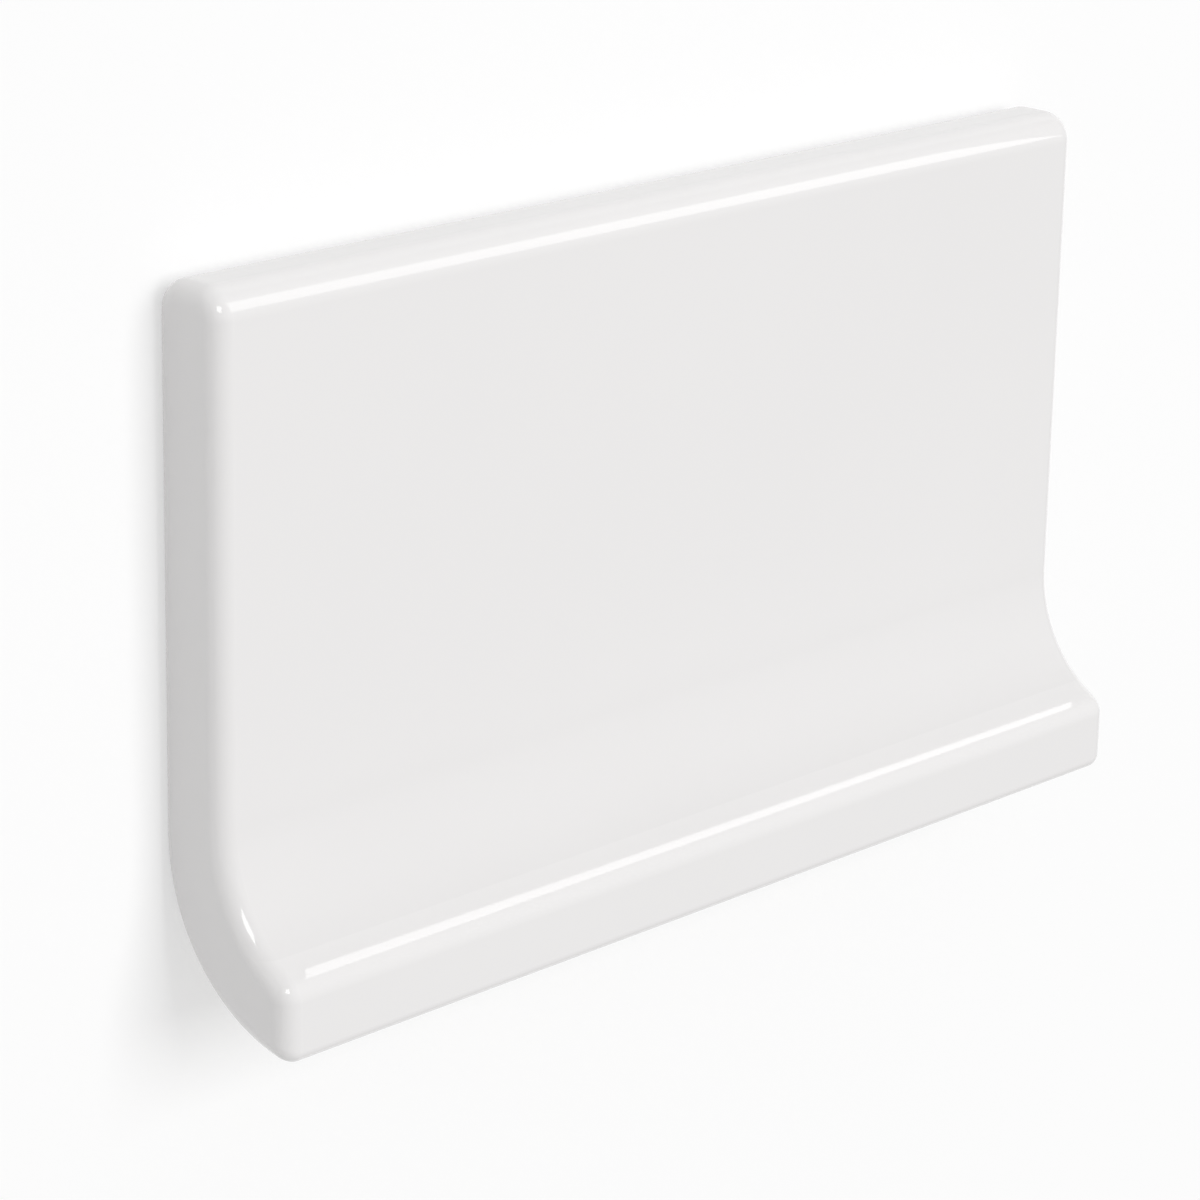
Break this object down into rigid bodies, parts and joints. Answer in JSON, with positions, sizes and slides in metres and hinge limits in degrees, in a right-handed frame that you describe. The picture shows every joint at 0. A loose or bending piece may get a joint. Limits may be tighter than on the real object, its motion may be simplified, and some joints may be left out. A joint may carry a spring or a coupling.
{
  "type": "cove base tile",
  "caption": "Straight glazed cove base tile: a flat upright leg that sweeps through a concave cove into a short rounded toe, with all visible edges rounded.",
  "frame": {"origin": "in the plane of the flat back, midway along the length and the height", "axes": "+X along the wall, +Y up the wall from the floor edge to the top edge, +Z out of the wall. The tile lies on its back"},
  "size_m": [0.15, 0.0895, 0.022],
  "materials": {
    "glaze": "gloss white glaze"
  },
  "bodies": {
    "root": {"cove_tile": "glaze"}
  },
  "joints": []
}
